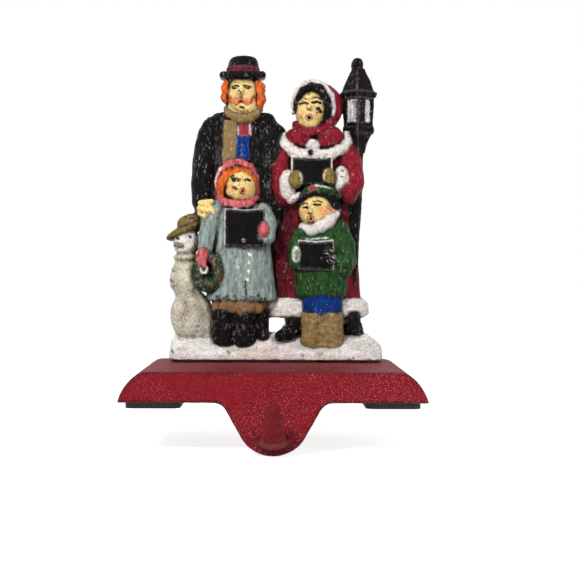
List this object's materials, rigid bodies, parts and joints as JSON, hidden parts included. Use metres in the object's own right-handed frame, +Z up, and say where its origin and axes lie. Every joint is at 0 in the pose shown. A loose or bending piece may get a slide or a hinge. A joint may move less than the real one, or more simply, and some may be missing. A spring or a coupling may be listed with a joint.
{
  "type": "mantel stocking holder",
  "caption": "Cast iron mantel stocking holder: a red base with a front tongue and upturned hook, and a painted group of carol singers by a street lamp on top.",
  "frame": {"origin": "middle of the mantel's top front edge: level with the undersides of the pads and with the back face of the tongue", "axes": "+X to the viewer's right, +Y back over the mantel, +Z up"},
  "size_m": [0.14, 0.1091, 0.1919],
  "materials": {
    "red_paint": "red paint over rough cast iron",
    "figure_paint": "hand painted cast iron in many colours",
    "pad_rubber": "matt black",
    "screw_steel": "zinc plated"
  },
  "bodies": {
    "root": {"base_casting": "red_paint", "carolers_casting": "figure_paint", "pad_left": "pad_rubber", "pad_right": "pad_rubber", "screw_left": "screw_steel", "screw_right": "screw_steel"}
  },
  "joints": []
}
